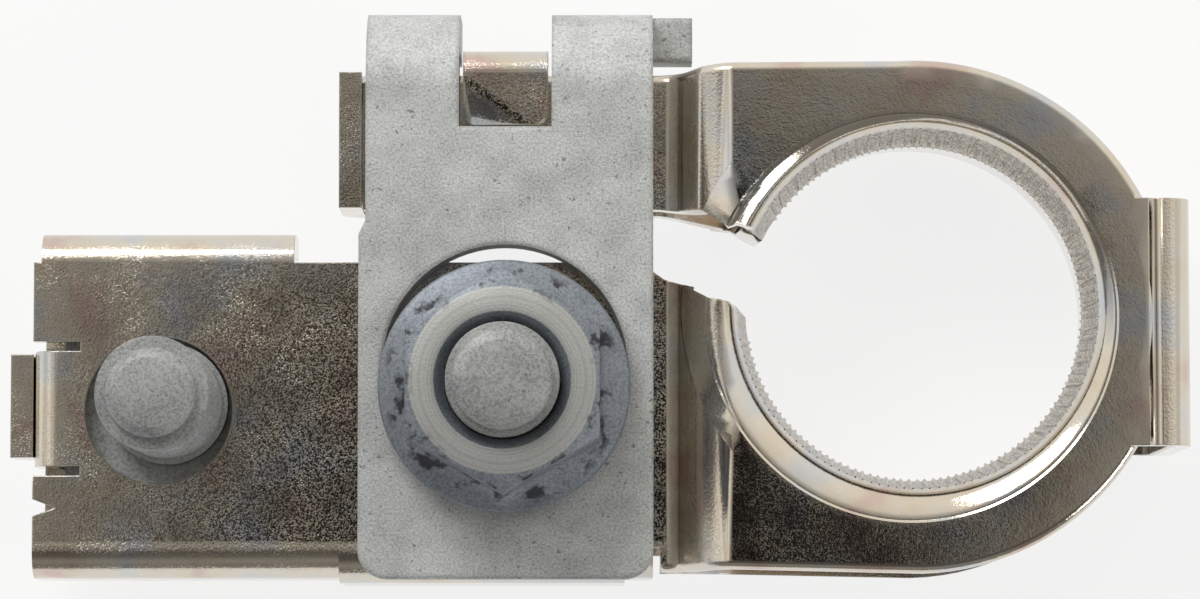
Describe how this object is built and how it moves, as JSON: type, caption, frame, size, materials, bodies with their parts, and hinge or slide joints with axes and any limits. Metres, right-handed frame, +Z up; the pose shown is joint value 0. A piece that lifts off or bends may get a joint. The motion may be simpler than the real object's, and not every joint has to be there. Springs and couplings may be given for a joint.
{
  "type": "battery terminal clamp",
  "caption": "Battery terminal clamp folded from plated strip, with a draw bracket and cone nut that close its slit ring on the post, and a stud for the cable lug.",
  "frame": {"origin": "on the battery post's axis, in the plane of the lower ring's underside, which meets the battery lid", "axes": "+Z up along the post, towards the nut; -X from the post to the cable stud; +Y towards the bracket's hooked ears"},
  "size_m": [0.0625, 0.0303, 0.0198],
  "materials": {
    "nickel_plate": "bright nickel plate on brass, scratched",
    "zinc_flake_fastener": "matt zinc flake coat on steel",
    "zinc_flake_bracket": "pale grainy zinc flake coat on steel",
    "zinc_flake_nut": "blue-grey zinc flake coat on steel, scuffed"
  },
  "bodies": {
    "clamp": {"clamp_body": "nickel_plate", "clamp_bolt": "zinc_flake_fastener", "cable_stud": "zinc_flake_fastener"},
    "nut": {"clamp_nut": "zinc_flake_nut"},
    "bracket": {"draw_bracket": "zinc_flake_bracket"}
  },
  "joints": [
    {"name": "nut_run_down", "type": "slide", "parent": "clamp", "child": "nut", "axis": [0, 0, -1], "range_m": [0, 0.00085]},
    {"name": "bracket_draw", "type": "slide", "parent": "clamp", "child": "bracket", "axis": [0, -1, 0], "range_m": [0, 0.00085]}
  ],
  "couplings": [
    {"joint": "bracket_draw", "follows": "nut_run_down", "ratio": 1}
  ]
}
